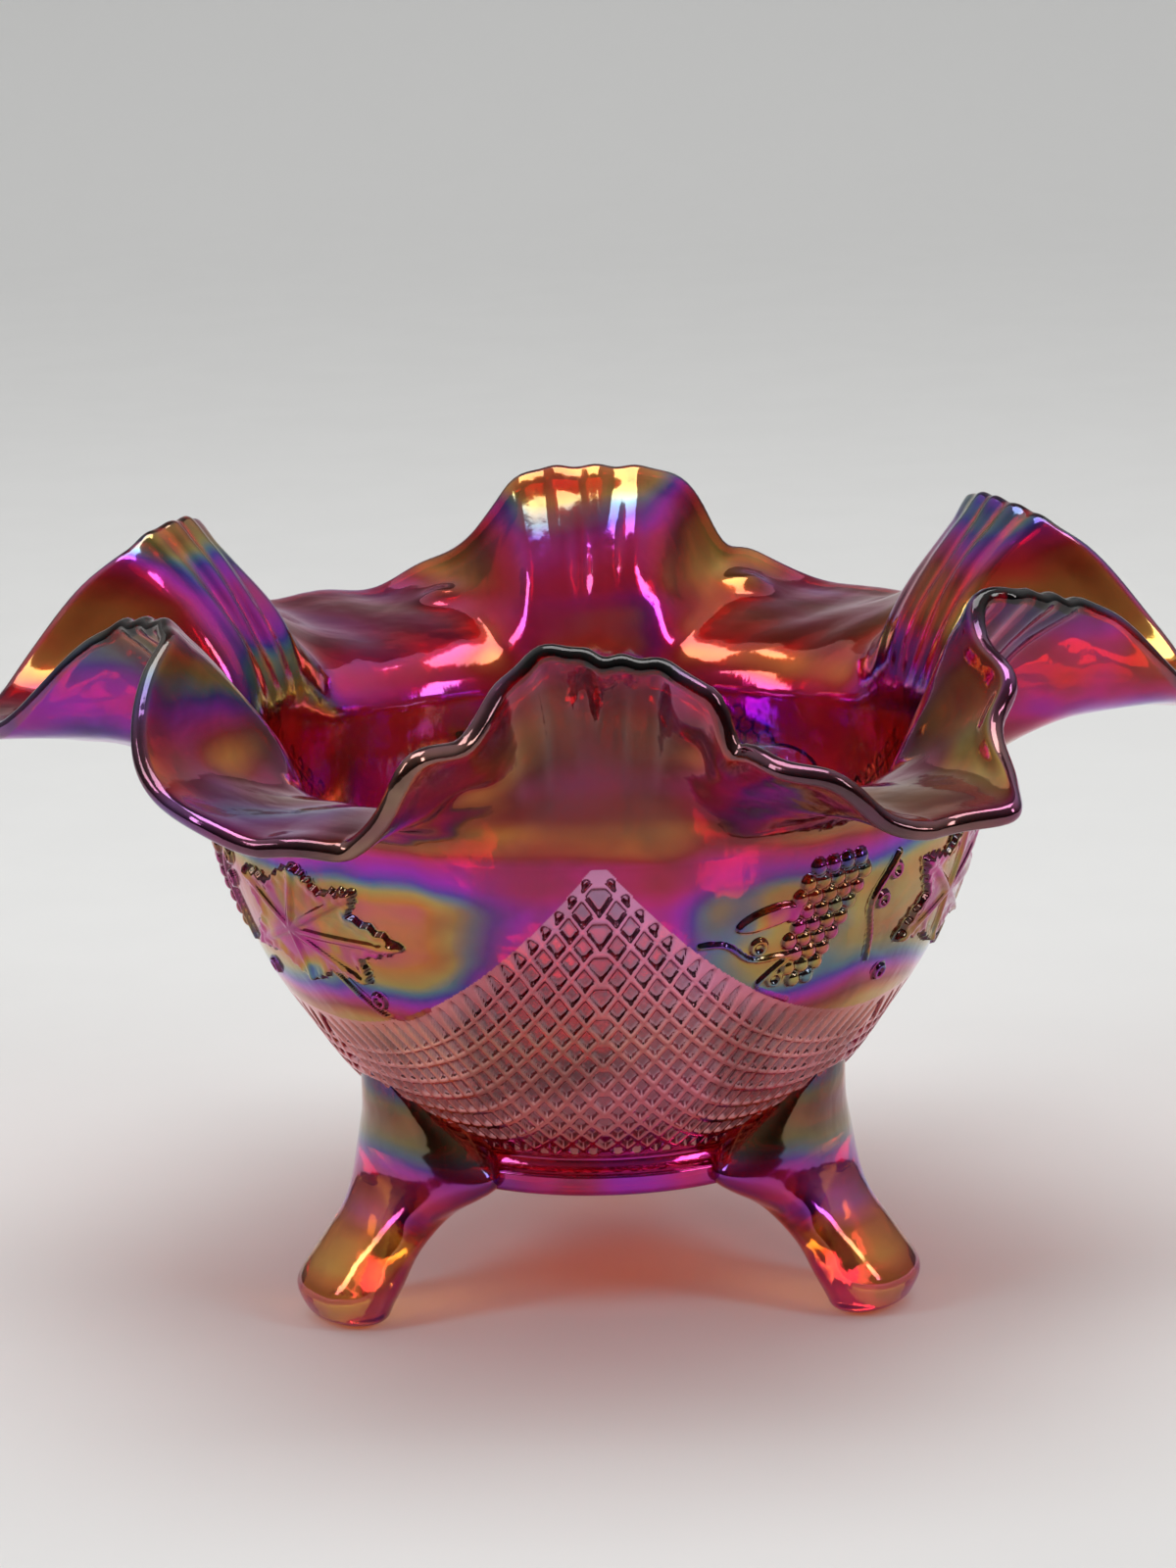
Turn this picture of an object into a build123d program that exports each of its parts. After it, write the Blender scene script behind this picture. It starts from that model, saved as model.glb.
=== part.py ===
from build123d import *
import math
import os

import numpy as np

# A pressed-glass bowl on three feet, with a hand-ruffled rim. Millimetres and degrees.
# The origin is on the floor under the bowl's centre. +Z is up and -Y is the front.
# Azimuths are counted from the front, positive towards +X.

# Wall of the bowl
FLARE_HEIGHT = 86.0  # where the round wall ends and the ruffled flare starts
FLARE_RADIUS = 64.5
WALL_THICKNESS = 4.5
UNDERSIDE_HEIGHT = 29.0  # flat underside, on the collar
OUTER_PROFILE = [  # (radius, height) from the collar up to the flare
    (33.0, UNDERSIDE_HEIGHT),
    (44.2, 40.0),
    (49.8, 48.0),
    (55.1, 56.0),
    (58.9, 64.0),
    (61.9, 72.0),
    (63.9, 80.0),
    (FLARE_RADIUS, FLARE_HEIGHT),
]
INNER_PROFILE = [  # (radius, height) from the flare down to the middle of the floor
    (FLARE_RADIUS - WALL_THICKNESS, FLARE_HEIGHT),
    (59.5, 80.5),
    (57.6, 73.0),
    (54.3, 64.5),
    (47.3, 53.0),
    (37.0, 42.5),
    (20.0, 36.0),
    (0.0, 34.5),
]

# Ruffled rim: six ruffles, each a cosine series of the azimuth
RUFFLES = 6
LIP_RADIUS_WAVES = (92.0, -9.1, 0.1, -0.4)
LIP_HEIGHT_WAVES = (107.4, 13.0, 0.4, -0.3)
LIP_THICKNESS = 3.0
LIP_BULGE = 1.1  # rounding of the lip past its two edges
CREST_STEM, TROUGH_STEM = 13.0, 7.0  # how far the wall goes on upright above the bowl
CREST_ELBOW = (69.0, 110.0)  # (radius, height) that a crest's curve is drawn towards
TROUGH_ELBOW = (82.0, 97.0)

# Collar under the bowl
COLLAR_RADIUS = 35.5
COLLAR_BORE_RADIUS = 27.0
COLLAR_BOTTOM = 23.0
COLLAR_BAND_TOP = 26.5
COLLAR_EDGE_ROUND = 1.0

# Feet, as (height, inner radius, outer radius, width) from the floor up to the tongue's tip.
# A relief panel with a bunch of grapes and a leaf is above each foot.
FOOT_AZIMUTHS = {"front_right": 60.0, "rear": 180.0, "front_left": 300.0}
FOOT_SECTIONS = [
    (0.0, 46.0, 53.0, 13.0),
    (2.0, 44.0, 56.5, 17.5),
    (6.0, 41.5, 57.8, 20.0),
    (10.0, 39.0, 55.2, 19.5),
    (14.0, 35.5, 51.6, 20.0),
    (18.0, 30.5, 47.9, 23.0),
    (21.0, 26.5, 45.6, 31.0),
    (24.0, 25.0, 44.2, 38.0),
    (28.0, 25.5, 43.6, 36.0),
    (32.0, 28.0, 43.4, 30.0),
    (36.0, 31.0, 44.0, 22.0),
    (40.0, 36.0, 45.4, 14.0),
    (43.0, 40.0, 46.8, 7.0),
]
FOOT_SQUARENESS = 2.2  # superellipse exponent of every section
FOOT_SECTION_POINTS = 16

# Diamond net around the lower wall: a layer whose upper edge rises in three pointed fans
NET_DEPTH = 0.8
NET_FANS = 3
NET_TROUGH_HEIGHT = 54.0
NET_PEAK_RISE = 32.0
NET_EDGE_POWER = 2.6

# Relief panels
LEAF_DEPTH = 1.0
GRAPE_RADIUS = 1.25
GRAPE_SPACING = 2.8
GRAPE_PAD_DEPTH = 0.5  # low pad that the grapes of a bunch stand on
GRAPE_ROWS = (4, 5, 4, 5, 4, 3, 2, 1)  # grapes in each row, from the top of the bunch
GRAPE_TOP_HEIGHT = 83.5
GRAPE_ROW_DROP = 2.45
BUNCH_OFFSET = -24.0  # azimuth of the bunch from the middle of its panel
LEAF_OFFSET = 10.0  # azimuth of the leaf from the middle of its panel
LEAF_HEIGHT = 71.5
LEAF_HALF_WIDTH = 19.0
LEAF_HALF_HEIGHT = 10.5
LEAF_LOBES = 5
LEAF_LOBE_DEPTH = 0.2
LEAF_TEETH = 30
LEAF_TOOTH_DEPTH = 0.04


def at(azimuth, radius, height):
    """Point at an azimuth in degrees from the front."""
    turn = math.radians(azimuth)
    return np.array([radius * math.sin(turn), -radius * math.cos(turn), height])


def bernstein_inverse(count):
    """Chebyshev nodes on 0..1, and the matrix from values there to Bezier control values."""
    degree = count - 1
    nodes = (1 - np.cos(np.pi * np.arange(count) / degree)) / 2
    basis = [
        math.comb(degree, k) * nodes**k * (1 - nodes) ** (degree - k)
        for k in range(count)
    ]
    return nodes, np.linalg.inv(np.stack(basis, axis=1))


def bezier_face(surface, u_count, v_count):
    """Bezier face through surface(u, v) for u and v from 0 to 1."""
    u_nodes, u_inverse = bernstein_inverse(u_count)
    v_nodes, v_inverse = bernstein_inverse(v_count)
    through = np.array([[surface(u, v) for v in v_nodes] for u in u_nodes])
    control = np.einsum("ai,ijk,bj->abk", u_inverse, through, v_inverse)
    return Face.make_bezier_surface([[tuple(p) for p in row] for row in control])


def spline_through(profile):
    """Curve through (radius, height) points in the XZ half plane."""
    return Spline(*[(radius, 0, height) for radius, height in profile])


def turned(*edges):
    """Solid turned about the Z axis from a closed half outline."""
    return revolve(make_face(list(edges)), Axis.Z)


def line(start, end):
    """Straight edge between two (radius, height) points."""
    return Line((start[0], 0, start[1]), (end[0], 0, end[1]))


def wall_profile(shift):
    """Outer profile of the wall moved outwards by a distance along the radius."""
    return [(radius + shift, height) for radius, height in OUTER_PROFILE]


def solid_bowl(shift):
    """The bowl's outside as a filled solid, moved outwards by a distance."""
    profile = wall_profile(shift)
    top = (0, profile[-1][1])
    bottom = (0, profile[0][1])
    return turned(
        spline_through(profile), line(profile[-1], top), line(top, bottom), line(bottom, profile[0])
    )


def bowl_wall():
    """Hollow wall and floor of the bowl, with its outside still smooth."""
    outside, inside = OUTER_PROFILE, INNER_PROFILE
    bottom = (0, UNDERSIDE_HEIGHT)
    return turned(
        spline_through(outside),
        line(outside[-1], inside[0]),
        spline_through(inside),
        line(inside[-1], bottom),
        line(bottom, outside[0]),
    )


def net_edge_height(azimuth):
    """Upper edge of the diamond net: a peak in the middle of each fan."""
    half_fan = 180.0 / NET_FANS
    from_peak = abs((azimuth + half_fan) % (2 * half_fan) - half_fan)
    return NET_TROUGH_HEIGHT + NET_PEAK_RISE * (1 - from_peak / half_fan) ** NET_EDGE_POWER


def fan_region():
    """Everything below the net's scalloped edge, as a thick ring around the wall."""
    near, far = 25.0, 75.0
    low = UNDERSIDE_HEIGHT - 1
    span = 180.0 / NET_FANS
    faces = []
    for index in range(2 * NET_FANS):

        def azimuth(u):
            return span * (index + u)

        def height(u, v):
            return low + v * (net_edge_height(azimuth(u)) - low)

        def radius(v):
            return near + v * (far - near)

        faces += [
            bezier_face(lambda u, v: at(azimuth(u), radius(v), height(u, 1)), 9, 2),
            bezier_face(lambda u, v: at(azimuth(u), radius(v), low), 9, 2),
            bezier_face(lambda u, v: at(azimuth(u), near, height(u, v)), 9, 2),
            bezier_face(lambda u, v: at(azimuth(u), far, height(u, v)), 9, 2),
        ]
    return Solid(Shell(faces))


def wave(series, azimuth):
    """Value of a cosine series that repeats with every ruffle."""
    turn = math.radians(RUFFLES * azimuth)
    return sum(size * math.cos(order * turn) for order, size in enumerate(series))


def flare_outside(azimuth, v):
    """Outside of the flare: a cubic from the top of the wall (v = 0) to the lip (v = 1)."""
    crest = (1 + math.cos(math.radians(RUFFLES * azimuth))) / 2
    stem = TROUGH_STEM + crest * (CREST_STEM - TROUGH_STEM)
    elbow = [low + crest * (high - low) for low, high in zip(TROUGH_ELBOW, CREST_ELBOW)]
    poles = [
        (FLARE_RADIUS, FLARE_HEIGHT),
        (FLARE_RADIUS, FLARE_HEIGHT + stem),
        elbow,
        (wave(LIP_RADIUS_WAVES, azimuth), wave(LIP_HEIGHT_WAVES, azimuth)),
    ]
    weights = [math.comb(3, k) * v**k * (1 - v) ** (3 - k) for k in range(4)]
    radius, height = (sum(w * pole[k] for w, pole in zip(weights, poles)) for k in (0, 1))
    return at(azimuth, radius, height)


def unit(vector):
    """Vector scaled to length 1."""
    return vector / np.linalg.norm(vector)


def flare_frame(azimuth, v):
    """Point on the flare's outside, its direction towards the lip and its outward normal."""
    step = 1e-4
    around = flare_outside(azimuth + step, v) - flare_outside(azimuth - step, v)
    upward = flare_outside(azimuth, v + step) - flare_outside(azimuth, v - step)
    return flare_outside(azimuth, v), unit(upward), unit(np.cross(around, upward))


def flare_inside(azimuth, v):
    """Inside of the flare, one glass thickness behind the outside."""
    point, _, normal = flare_frame(azimuth, v)
    return point - normal * (WALL_THICKNESS + v * (LIP_THICKNESS - WALL_THICKNESS))


def lip(azimuth, v):
    """Rounded lip, from the outside (v = 0) over to the inside (v = 1)."""
    _, upward, _ = flare_frame(azimuth, 1)
    straight = (1 - v) * flare_outside(azimuth, 1) + v * flare_inside(azimuth, 1)
    return straight + upward * LIP_BULGE * 4 * v * (1 - v)


def base_ring(azimuth, v):
    """Flat ring where the flare joins the wall."""
    return at(azimuth, FLARE_RADIUS - v * WALL_THICKNESS, FLARE_HEIGHT)


def ruffled_rim():
    """Flared rim, closed by the lip above and the joint with the wall below."""
    half = 180.0 / RUFFLES
    faces = []
    for index in range(2 * RUFFLES):
        for surface, rows in ((flare_outside, 7), (flare_inside, 7), (lip, 3), (base_ring, 2)):
            faces.append(
                bezier_face(lambda u, v: surface(half * (index + u), v), 9, rows)
            )
    return Solid(Shell(faces))


def collar():
    """Low ring under the bowl, with a cove above its band."""
    outer, inner = COLLAR_RADIUS, COLLAR_BORE_RADIUS
    neck = OUTER_PROFILE[0][0]
    cove_middle = ((outer + neck) / 2 - 0.5, 0, (COLLAR_BAND_TOP + UNDERSIDE_HEIGHT) / 2 - 0.4)
    ring = turned(
        line((inner, COLLAR_BOTTOM), (outer, COLLAR_BOTTOM)),
        line((outer, COLLAR_BOTTOM), (outer, COLLAR_BAND_TOP)),
        ThreePointArc((outer, 0, COLLAR_BAND_TOP), cove_middle, (neck, 0, UNDERSIDE_HEIGHT)),
        line((neck, UNDERSIDE_HEIGHT), (inner, UNDERSIDE_HEIGHT)),
        line((inner, UNDERSIDE_HEIGHT), (inner, COLLAR_BOTTOM)),
    )
    return fillet(ring.edges().group_by(Axis.Z)[0], COLLAR_EDGE_ROUND)


def superellipse(angle, half_width, half_depth):
    """Point of a foot's section at a running angle in radians."""
    side, out = math.cos(angle), math.sin(angle)
    power = 2 / FOOT_SQUARENESS
    return (
        half_width * math.copysign(abs(side) ** power, side),
        half_depth * math.copysign(abs(out) ** power, out),
    )


def foot_section(height, inner_radius, outer_radius, width):
    """Section of a foot at one height, bent around the bowl's axis, pointing to the front."""
    centre = (inner_radius + outer_radius) / 2
    half_depth = (outer_radius - inner_radius) / 2
    points = []
    for angle in np.linspace(0, 2 * math.pi, FOOT_SECTION_POINTS, endpoint=False):
        side, out = superellipse(angle, width / 2, half_depth)
        points.append(tuple(at(math.degrees(side / centre), centre + out, height)))
    return Face(Wire([Edge.make_spline(points, periodic=True)]))


def foot(bowl):
    """Splayed foot whose top spreads into a tongue on the underside of the wall."""
    leg = loft([foot_section(*section) for section in FOOT_SECTIONS])
    core = Pos(0, 0, COLLAR_BOTTOM) * Cylinder(
        COLLAR_BORE_RADIUS + 1,
        UNDERSIDE_HEIGHT - COLLAR_BOTTOM,
        align=(Align.CENTER, Align.CENTER, Align.MIN),
    )
    return leg - bowl - collar() - core


def wall_radius(height):
    """Outer radius of the wall at a height."""
    radii, heights = zip(*OUTER_PROFILE)
    return float(np.interp(height, heights, radii))


def panel_plane(azimuth, height):
    """Upright plane through the bowl's axis that faces outwards at an azimuth."""
    outwards = tuple(at(azimuth, 1, 0))
    sideways = tuple(at(azimuth + 90, 1, 0))
    return Plane(origin=(0, 0, height), x_dir=sideways, z_dir=outwards)


def raised(outline, azimuth, height, depth):
    """Block of an outline, from the bowl's axis out to a depth beyond the wall."""
    block = extrude(panel_plane(azimuth, height) * outline, amount=2 * FLARE_RADIUS)
    return block & solid_bowl(depth)


def grape_places():
    """Sideways and vertical place of every grape, from the middle of the top row."""
    for row, count in enumerate(GRAPE_ROWS):
        for place in range(count):
            yield (place - (count - 1) / 2) * GRAPE_SPACING, -row * GRAPE_ROW_DROP


def bunch_outline():
    """Tapering outline around the rows of a bunch."""
    edge = [
        (count * GRAPE_SPACING / 2, -row * GRAPE_ROW_DROP)
        for row, count in enumerate(GRAPE_ROWS)
    ]
    mirrored = [(-side, height) for side, height in reversed(edge)]
    return make_face(Polyline(*edge, *mirrored, close=True))


def grape_bunch(bowl):
    """Bunch of half-round grapes in staggered rows on a low pad."""
    bunch = raised(bunch_outline(), BUNCH_OFFSET, GRAPE_TOP_HEIGHT, GRAPE_PAD_DEPTH)
    for side, drop in grape_places():
        height = GRAPE_TOP_HEIGHT + drop
        radius = wall_radius(height)
        azimuth = BUNCH_OFFSET + math.degrees(side / radius)
        bunch += Pos(*at(azimuth, radius, height)) * Sphere(GRAPE_RADIUS)
    return bunch - bowl


def leaf_outline():
    """Lobed, toothed outline of a vine leaf in its own plane."""
    points = []
    for step in range(2 * LEAF_TEETH):
        angle = math.pi * step / LEAF_TEETH
        reach = 1 + LEAF_LOBE_DEPTH * math.cos(LEAF_LOBES * angle)
        reach += LEAF_TOOTH_DEPTH * (-1) ** step
        reach /= 1 + LEAF_LOBE_DEPTH
        points.append(
            (reach * LEAF_HALF_WIDTH * math.cos(angle), reach * LEAF_HALF_HEIGHT * math.sin(angle))
        )
    return make_face(Polyline(*points, close=True))


def vine_leaf(bowl):
    """Flat raised leaf that follows the wall."""
    return raised(leaf_outline(), LEAF_OFFSET, LEAF_HEIGHT, LEAF_DEPTH) - bowl


def build_nodes():
    """Every node of the bowl by name; what repeats is made at the front and turned."""
    bowl = solid_bowl(0)
    band = (bowl - solid_bowl(-NET_DEPTH)) & fan_region()
    nodes = {
        "bowl_body": bowl_wall() - band,
        "diamond_band": band,
        "ruffled_rim": ruffled_rim(),
        "collar_base": collar(),
    }
    repeated = {
        "foot": foot(bowl),
        "grape_bunch": grape_bunch(bowl),
        "vine_leaf": vine_leaf(bowl),
    }
    for kind, shape in repeated.items():
        for place, azimuth in FOOT_AZIMUTHS.items():
            nodes[f"{kind}_{place}"] = Rot(0, 0, azimuth) * shape
    return nodes


def main():
    """Write each node to its own file."""
    os.makedirs("parts", exist_ok=True)
    for name, shape in build_nodes().items():
        export_step(shape, f"parts/{name}.step")


main()
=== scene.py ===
import math

import bpy
import numpy as np
from mathutils import Euler, Matrix, Vector


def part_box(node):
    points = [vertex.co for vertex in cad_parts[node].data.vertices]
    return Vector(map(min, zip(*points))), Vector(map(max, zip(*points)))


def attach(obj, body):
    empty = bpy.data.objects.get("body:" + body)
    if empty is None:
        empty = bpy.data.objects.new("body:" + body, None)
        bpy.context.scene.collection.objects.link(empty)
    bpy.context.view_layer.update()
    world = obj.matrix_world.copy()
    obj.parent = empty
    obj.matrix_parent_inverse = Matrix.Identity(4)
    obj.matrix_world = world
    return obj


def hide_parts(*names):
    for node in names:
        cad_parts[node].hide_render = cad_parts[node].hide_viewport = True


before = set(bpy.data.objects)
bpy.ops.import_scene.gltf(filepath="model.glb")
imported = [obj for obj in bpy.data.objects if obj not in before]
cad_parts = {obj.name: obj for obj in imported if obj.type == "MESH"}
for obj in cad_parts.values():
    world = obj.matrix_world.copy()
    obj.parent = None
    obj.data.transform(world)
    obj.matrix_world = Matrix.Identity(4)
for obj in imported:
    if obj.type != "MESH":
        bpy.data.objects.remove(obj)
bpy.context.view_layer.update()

# A carnival glass bowl: pressed ruby glass with an iridescent coat, on three amber feet, with
# a rim that was ruffled by hand. Lengths are millimetres and azimuths are degrees from the
# front (-Y), positive towards +X, unless a name says otherwise.
MM = 0.001


def node_box(name):
    """Lowest and highest corner of a CAD node, in millimetres."""
    low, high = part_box(name)
    return np.array(low) / MM, np.array(high) / MM


BODY_LOW, BODY_HIGH = node_box("bowl_body")
COLLAR_LOW, COLLAR_HIGH = node_box("collar_base")
FLARE_HEIGHT = BODY_HIGH[2]
FLARE_RADIUS = BODY_HIGH[0]
UNDERSIDE_HEIGHT = BODY_LOW[2]
COLLAR_BOTTOM = COLLAR_LOW[2]
COLLAR_RADIUS = COLLAR_HIGH[0]
PANELS = {"front_right": 60.0, "rear": 180.0, "front_left": 300.0}  # one above each foot

# Wall of the bowl
WALL_THICKNESS = 4.5
OUTER_PROFILE = [  # (radius, height) from the collar up to the flare, where it is upright
    (33.0, 29.0),
    (44.2, 40.0),
    (49.8, 48.0),
    (55.1, 56.0),
    (58.9, 64.0),
    (61.9, 72.0),
    (63.9, 80.0),
    (64.5, 86.0),
]
INNER_PROFILE = [  # (radius, height) of the inside, from the flare to the middle of the floor
    (60.0, 86.0),
    (59.3, 79.0),
    (57.2, 72.0),
    (53.6, 63.5),
    (47.3, 53.0),
    (38.0, 43.4),
    (27.0, 38.0),
    (14.0, 35.2),
    (0.0, 34.5),
]

# Collar under the bowl
COLLAR_BAND_TOP = 26.5
COLLAR_BORE = 27.0
COLLAR_ROUND = 1.0
COVE_RADIUS = 2.5
BAND_ROUND = 0.3
FLAT_MARGIN = 0.2  # gap between a rounded edge and the first ring on the flat beside it
UNDERSIDE_RINGS = [(COLLAR_BORE, 1), (COLLAR_BORE - 1, 4), (15.0, 4), (6.0, 8)]  # radius, stride

# Ruffled rim: one ruffle from its crest (0) to its trough (30), and the bends left by the
# tools that crimped it, as (azimuth, width, outwards, upwards)
RUFFLE_PITCH = 60.0
RUFFLE_AZIMUTHS = (0.0, 5.0, 8.0, 11.0, 15.0, 21.0, 30.0)
RUFFLE_RADII = (82.0, 83.0, 84.5, 88.8, 95.0, 99.2, 101.5)
RUFFLE_HEIGHTS = (121.0, 121.0, 120.5, 117.0, 107.2, 98.8, 95.5)
CRIMPS = [
    (-23, 3.1, -2.7, -2.6),
    (-15.7, 2.0, 2.9, 2.5),
    (-15.7, 2.6, 0.0, 2.8),
    (-11.8, 1.6, 0.0, -1.4),
    (-9.8, 5.1, -1.7, -3.4),
    (-4.4, 3.8, -1.0, 2.7),
    (9.2, 5.0, -1.1, -1.8),
    (8.0, 5.0, 0.0, 1.2),
    (11.4, 0.8, 0.0, 1.0),
    (13.2, 1.1, 0.0, -3.2),
    (13.5, 2.0, -4.5, 0.0),
    (17.5, 3.4, 0.0, 2.6),
    (23.0, 4.5, 0.0, 0.6),
    (20.6, 3.0, 1.9, 3.8),
    (36.8, 2.9, 5.7, 0.0),
    (44.4, 2.4, -5.2, 0.6),
    (51.2, 3.3, -3.1, -4.3),
    (54.0, 3.7, -3.5, 2.7),
    (68.5, 5.3, 0.0, -2.8),
    (109, 4.1, 0.0, -1.8),
    (137, 5.0, -2.9, 2.1),
    (145, 2.6, 1.6, -0.8),
    (166, 2.2, -3.2, -3.2),
    (192, 4.0, -5.4, -3.6),
    (209, 4.7, 0.0, 1.9),
    (232, 4.6, 1.6, -2.0),
    (251, 4.4, 0.0, -2.4),
    (290, 7.5, -1.2, -3.4),
    (312, 5.4, 2.0, 0.0),
    (315, 4.9, 3.4, 0.0),
    (322.5, 4.3, 2.5, 0.9),
]
CREST_SHIFTS = [(119.0, 3.0), (241.0, -3.0)]  # the rear crests lie this much further forward
CREST_SHIFT_WIDTH = 15.0
LIP_THICKNESS = 2.6
LIP_BEAD = 0.5  # extra thickness of the fire-polished edge
CREST_STEM, TROUGH_STEM = 13.0, 7.0  # how far the flare goes on upright above the wall
CREST_ELBOW = (69.0, 110.0)  # (radius, height) that the flare bends towards
TROUGH_ELBOW = (80.5, 97.5)
CREST_HALF_WIDTH = 11.0
CREST_POWER, FRONT_CREST_POWER = 7.0, 2.6  # how squarely the crests stand out from the flare
FRONT_WIDTH = 25.0
RIPPLE_DEPTH = 0.3
RIPPLES = [  # (waves around the rim, turn from the wall to the lip, start, share)
    (13, 5, 0.7, 1.0),
    (23, -7, 2.1, 0.8),
    (37, 11, 4.0, 0.5),
]
FOLD_DEPTH = 0.35  # upright folds on the inward column of each crest
FOLD_COUNT = 84
FOLD_HALF_WIDTH = 12.0
DENTS = [  # (azimuth, place up the flare, half the width in degrees, half the height, depth)
    (-14.5, 0.62, 2.4, 0.06, 1.6),
    (-1.5, 0.80, 1.8, 0.13, 1.9),
    (11.5, 0.74, 1.6, 0.09, 1.7),
    (26.5, 0.62, 2.4, 0.06, 1.5),
    (84.0, 0.62, 2.6, 0.06, 1.5),
    (101.0, 0.75, 2.6, 0.06, 1.4),
    (161.0, 0.78, 2.6, 0.06, 1.5),
    (198.0, 0.74, 2.6, 0.06, 1.5),
    (259.0, 0.75, 2.6, 0.06, 1.4),
    (276.0, 0.62, 2.6, 0.06, 1.5),
]

# Diamond net around the lower wall, and the flutes along its scalloped edge
HALF_FAN = 60.0
NET_TROUGH_HEIGHT = 54.0
NET_PEAK_RISE = 33.5
NET_EDGE_POWER = 2.6
NET_DEPTH = 0.85
CELL_HEIGHT, SIDE_CELL_HEIGHT = 6.2, 2.7
CROSS_CELL_HEIGHT = 3.8
CELL_WIDTH = 4.0
RIDGE, RIDGE_GROWTH = 0.05, 0.05  # half a ridge, as a share of a cell, and its growth downwards
RIDGE_SLOPE = 0.17
PEAK_FLUTE, SIDE_FLUTE = 2.5, 7.5  # length of the flutes at a fan's peak and on its sides
FLUTES_SETTLE = 28.0  # azimuth from the peak where they reach the second length
FLUTE_TAPER = 0.38
FLUTE_SLOPE = 0.12

# Relief panels, as (azimuth from the panel's middle, height) on the wall
HALF_PANEL = 50.0
FAINTEST_RELIEF = 0.04
GRAPE_ROWS = [  # (how many, azimuth of the first, height), from the top of the bunch
    (4, -27.0, 82.7),
    (5, -28.6, 80.3),
    (5, -29.8, 77.9),
    (5, -31.0, 75.5),
    (4, -29.6, 73.1),
    (4, -30.8, 70.7),
    (3, -29.4, 68.3),
    (3, -30.2, 65.9),
    (2, -28.8, 63.6),
]
GRAPE_STEP = 2.7
GRAPE_LEAN = 0.12  # how much higher each grape of a row sits than the last one
GRAPE_TALLNESS = 0.95  # less than 1 makes a grape taller than it is wide
GRAPE_RADIUS = 1.42
GRAPE_RISE = 1.15
LEAF_MIDDLE = (9.5, 71.0)  # its tips, notches and hub are (x, y) from here
LEAF_TIPS = [(22, 0.0), (13, -8), (-2, -10), (-18, -6), (-15, 8.5), (1, 12), (14.5, 9.5)]
LEAF_NOTCHES = [(12.5, -3), (5, -6.5), (-9, -6), (-11.5, 1.5), (-7, 7.5), (6.5, 8), (12, 5)]
LEAF_HUB = (-3.0, 0.0)
LEAF_TEETH = 4
LEAF_TOOTH = 0.9
LEAF_RISE = 1.2
LEAF_BLADE, LEAF_EDGE, LEAF_VEIN = 0.55, 0.3, 0.45  # shares of its rise
VEIN_REACH = 0.9
BUD = [(-39.7, 74.1), (-34.6, 75.6), (-29.6, 76.5)]
BUD_HALF_WIDTH, BUD_TAPER = 2.1, 0.93
BUD_RISE, BUD_EDGE = 0.9, 0.8
VINES = [
    [(-45.3, 71.8), (-41, 71.3), (-37.7, 68.7), (-33.7, 68.2), (-29.7, 68.6)],
    [(-30, 68.3), (-34.8, 64.1), (-34.1, 62.1), (-28.8, 59.6)],
    [(-11, 82), (-13.5, 78.5), (-15.8, 74.3), (-14.7, 69.6), (-13.6, 64)],
    [(14, 64.5), (18.5, 60), (22, 57.6), (26, 57.4), (31, 59.8)],
]
TENDRILS = [(-35.9, 70.5), (-32.3, 64.3), (-8.3, 60.4), (-11.4, 79), (-13.4, 74.4), (21.6, 60.3)]
TENDRIL_RADIUS = 1.15
VINE_WIDTH = 0.5
VINE_RISE = 0.75

# Feet, as (height, inner radius, outer radius, width); each bends around the bowl's axis
FOOT_SECTIONS = [
    (0.0, 46.4, 52.4, 12.0),
    (0.6, 45.2, 54.6, 15.0),
    (2.0, 44.0, 56.5, 17.5),
    (6.0, 41.5, 57.8, 20.0),
    (10.0, 39.0, 55.2, 19.5),
    (14.0, 35.5, 51.6, 20.0),
    (18.0, 30.8, 47.9, 23.0),
    (21.0, 28.6, 45.6, 31.0),
    (24.0, 28.2, 44.2, 38.0),
    (28.0, 28.4, 43.6, 36.0),
    (32.0, 29.5, 43.4, 30.0),
    (36.0, 31.5, 44.0, 22.0),
    (40.0, 36.0, 44.8, 14.0),
    (43.0, 39.0, 45.4, 7.0),
]
FOOT_SQUARENESS = 2.3
TONGUE_FROM, TONGUE_TO = 23.0, 31.0  # heights between which the leg turns into its tongue
TONGUE_SHADE = 0.9  # painted shade: the tongue is darker than the leg, as if it were this steep
FOOT_AROUND = 120
FOOT_STEP = 0.35
SOLE_HEIGHTS = [0, 0.15, 0.35, 0.6, 0.9, 1.25, 1.6]  # closer rings around the sole's edge

# Grids
COARSE = 1
AROUND = 1440 // COARSE
RIM_AROUND = 720 // COARSE
INSIDE_AROUND = 360 // COARSE
ROW_STEP = 0.3 * COARSE
INSIDE_ROWS, RIM_ROWS, LIP_ROWS = 90, 64, 12

# What the vertices carry for the materials: two masks of painted shade, then the relief's height
NOTES = ("hollow_shade", "dark_shade", "raised")
PLAIN = (0.0, 0.0, 0.0)
LIP_NOTES = (0.9, 0.45, 0.0)  # painted shade: the lip is almost as grey and dark as the net's hollows

# Sections of the glass, by the number that marks their faces; the last three have three each
BODY, NET, COLLAR, JOINT = 0, 1, 2, 3
GRAPES, LEAVES, FEET = 4, 7, 10


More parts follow.
